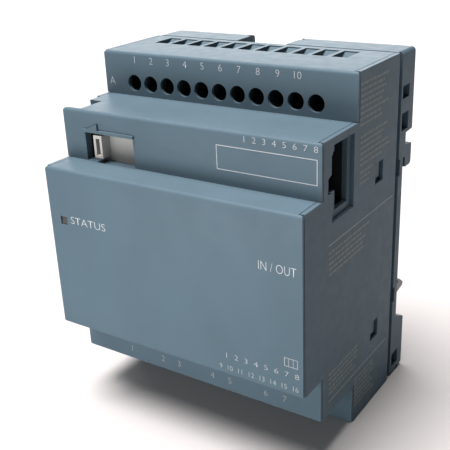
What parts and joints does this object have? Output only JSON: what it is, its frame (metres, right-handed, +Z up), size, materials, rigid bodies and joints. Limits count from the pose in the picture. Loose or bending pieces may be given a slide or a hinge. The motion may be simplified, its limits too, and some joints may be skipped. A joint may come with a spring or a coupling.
{
  "type": "plc module",
  "caption": "Rail-mounted digital input and output expansion module with stepped front, screw terminals, bus slider and side socket.",
  "frame": {"origin": "centre of the case's footprint, on the plane that the case stands on", "axes": "+Z up along the case, +X to the right seen from the front, +Y back towards the mounting rail; the front panel faces -Y"},
  "size_m": [0.0716, 0.058, 0.09],
  "materials": {
    "case_plastic": "fine moulded texture, grey-blue",
    "dark_plastic": "moulded, near black",
    "light_plastic": "moulded, light grey",
    "board_laminate": "green solder mask",
    "contact_brass": "plated",
    "zinc_steel": "zinc plated",
    "spring_steel": "drawn wire",
    "crystal_can": "pressed can",
    "chip_body": "moulded epoxy",
    "clear_plastic": "smoked, polished ends",
    "capacitor_sleeve": "shrunk sleeve",
    "ferrite_core": "sintered",
    "fuse_body": "unglazed"
  },
  "bodies": {
    "case": {"front_cover": "case_plastic", "housing": "case_plastic", "rear_base": "case_plastic", "io_board": "board_laminate", "logic_board": "board_laminate", "board_header": "dark_plastic", "header_pins": "contact_brass", "run_led": "clear_plastic", "light_guide": "clear_plastic", "bus_riser_board": "board_laminate", "bus_strips": "contact_brass", "expansion_socket": "dark_plastic", "socket_contacts": "contact_brass", "left_latch_spring": "spring_steel", "right_latch_spring": "spring_steel", "processor_chip": "chip_body", "clock_crystal": "crystal_can", "optocouplers": "chip_body", "output_drivers": "chip_body", "supply_inductor": "ferrite_core", "supply_capacitors": "capacitor_sleeve", "supply_fuse": "fuse_body", "upper_terminal_block": "dark_plastic", "upper_clamp_cages": "zinc_steel", "upper_contact_bars": "contact_brass", "lower_terminal_block": "dark_plastic", "lower_clamp_cages": "zinc_steel", "lower_contact_bars": "contact_brass"},
    "bus_carriage": {"expansion_slider": "light_plastic", "expansion_plug": "dark_plastic", "plug_contacts": "contact_brass"},
    "rail_latch": {"rail_latch": "light_plastic"},
    "upper_wall_slide": {"upper_wall_slide": "light_plastic"},
    "lower_wall_slide": {"lower_wall_slide": "light_plastic"},
    "upper_screw_1": {"upper_screw_1": "zinc_steel"},
    "upper_screw_2": {"upper_screw_2": "zinc_steel"},
    "upper_screw_3": {"upper_screw_3": "zinc_steel"},
    "upper_screw_4": {"upper_screw_4": "zinc_steel"},
    "upper_screw_5": {"upper_screw_5": "zinc_steel"},
    "upper_screw_6": {"upper_screw_6": "zinc_steel"},
    "upper_screw_7": {"upper_screw_7": "zinc_steel"},
    "upper_screw_8": {"upper_screw_8": "zinc_steel"},
    "upper_screw_9": {"upper_screw_9": "zinc_steel"},
    "upper_screw_10": {"upper_screw_10": "zinc_steel"},
    "upper_screw_11": {"upper_screw_11": "zinc_steel"},
    "lower_screw_1": {"lower_screw_1": "zinc_steel"},
    "lower_screw_2": {"lower_screw_2": "zinc_steel"},
    "lower_screw_3": {"lower_screw_3": "zinc_steel"},
    "lower_screw_4": {"lower_screw_4": "zinc_steel"},
    "lower_screw_5": {"lower_screw_5": "zinc_steel"},
    "lower_screw_6": {"lower_screw_6": "zinc_steel"},
    "lower_screw_7": {"lower_screw_7": "zinc_steel"},
    "lower_screw_8": {"lower_screw_8": "zinc_steel"},
    "lower_screw_9": {"lower_screw_9": "zinc_steel"},
    "lower_screw_10": {"lower_screw_10": "zinc_steel"},
    "lower_screw_11": {"lower_screw_11": "zinc_steel"}
  },
  "joints": [
    {"name": "bus_slide", "type": "slide", "parent": "case", "child": "bus_carriage", "axis": [-1, 0, 0], "range_m": [-0.009, 0.0024]},
    {"name": "latch_release", "type": "slide", "parent": "case", "child": "rail_latch", "axis": [0, 0, 1], "range_m": [-0.005, 0], "stiffness_N_per_m": 300, "springref_m": 0.006, "deforming": ["left_latch_spring", "right_latch_spring"]},
    {"name": "upper_slide_pull", "type": "slide", "parent": "case", "child": "upper_wall_slide", "axis": [0, 0, 1], "range_m": [0, 0.014]},
    {"name": "lower_slide_pull", "type": "slide", "parent": "case", "child": "lower_wall_slide", "axis": [0, 0, -1], "range_m": [0, 0.009]},
    {"name": "upper_screw_1_turn", "type": "hinge", "parent": "case", "child": "upper_screw_1", "pos_m": [-0.0263, 0.001, 0.0822], "axis": [0, -1, 0], "continuous": true},
    {"name": "upper_screw_2_turn", "type": "hinge", "parent": "case", "child": "upper_screw_2", "pos_m": [-0.02111, 0.001, 0.0822], "axis": [0, -1, 0], "continuous": true},
    {"name": "upper_screw_3_turn", "type": "hinge", "parent": "case", "child": "upper_screw_3", "pos_m": [-0.01592, 0.001, 0.0822], "axis": [0, -1, 0], "continuous": true},
    {"name": "upper_screw_4_turn", "type": "hinge", "parent": "case", "child": "upper_screw_4", "pos_m": [-0.01073, 0.001, 0.0822], "axis": [0, -1, 0], "continuous": true},
    {"name": "upper_screw_5_turn", "type": "hinge", "parent": "case", "child": "upper_screw_5", "pos_m": [-0.00554, 0.001, 0.0822], "axis": [0, -1, 0], "continuous": true},
    {"name": "upper_screw_6_turn", "type": "hinge", "parent": "case", "child": "upper_screw_6", "pos_m": [-0.00035, 0.001, 0.0822], "axis": [0, -1, 0], "continuous": true},
    {"name": "upper_screw_7_turn", "type": "hinge", "parent": "case", "child": "upper_screw_7", "pos_m": [0.00484, 0.001, 0.0822], "axis": [0, -1, 0], "continuous": true},
    {"name": "upper_screw_8_turn", "type": "hinge", "parent": "case", "child": "upper_screw_8", "pos_m": [0.01003, 0.001, 0.0822], "axis": [0, -1, 0], "continuous": true},
    {"name": "upper_screw_9_turn", "type": "hinge", "parent": "case", "child": "upper_screw_9", "pos_m": [0.01522, 0.001, 0.0822], "axis": [0, -1, 0], "continuous": true},
    {"name": "upper_screw_10_turn", "type": "hinge", "parent": "case", "child": "upper_screw_10", "pos_m": [0.02041, 0.001, 0.0822], "axis": [0, -1, 0], "continuous": true},
    {"name": "upper_screw_11_turn", "type": "hinge", "parent": "case", "child": "upper_screw_11", "pos_m": [0.0256, 0.001, 0.0822], "axis": [0, -1, 0], "continuous": true},
    {"name": "lower_screw_1_turn", "type": "hinge", "parent": "case", "child": "lower_screw_1", "pos_m": [-0.0263, 0.001, 0.0078], "axis": [0, -1, 0], "continuous": true},
    {"name": "lower_screw_2_turn", "type": "hinge", "parent": "case", "child": "lower_screw_2", "pos_m": [-0.02111, 0.001, 0.0078], "axis": [0, -1, 0], "continuous": true},
    {"name": "lower_screw_3_turn", "type": "hinge", "parent": "case", "child": "lower_screw_3", "pos_m": [-0.01592, 0.001, 0.0078], "axis": [0, -1, 0], "continuous": true},
    {"name": "lower_screw_4_turn", "type": "hinge", "parent": "case", "child": "lower_screw_4", "pos_m": [-0.01073, 0.001, 0.0078], "axis": [0, -1, 0], "continuous": true},
    {"name": "lower_screw_5_turn", "type": "hinge", "parent": "case", "child": "lower_screw_5", "pos_m": [-0.00554, 0.001, 0.0078], "axis": [0, -1, 0], "continuous": true},
    {"name": "lower_screw_6_turn", "type": "hinge", "parent": "case", "child": "lower_screw_6", "pos_m": [-0.00035, 0.001, 0.0078], "axis": [0, -1, 0], "continuous": true},
    {"name": "lower_screw_7_turn", "type": "hinge", "parent": "case", "child": "lower_screw_7", "pos_m": [0.00484, 0.001, 0.0078], "axis": [0, -1, 0], "continuous": true},
    {"name": "lower_screw_8_turn", "type": "hinge", "parent": "case", "child": "lower_screw_8", "pos_m": [0.01003, 0.001, 0.0078], "axis": [0, -1, 0], "continuous": true},
    {"name": "lower_screw_9_turn", "type": "hinge", "parent": "case", "child": "lower_screw_9", "pos_m": [0.01522, 0.001, 0.0078], "axis": [0, -1, 0], "continuous": true},
    {"name": "lower_screw_10_turn", "type": "hinge", "parent": "case", "child": "lower_screw_10", "pos_m": [0.02041, 0.001, 0.0078], "axis": [0, -1, 0], "continuous": true},
    {"name": "lower_screw_11_turn", "type": "hinge", "parent": "case", "child": "lower_screw_11", "pos_m": [0.0256, 0.001, 0.0078], "axis": [0, -1, 0], "continuous": true}
  ]
}
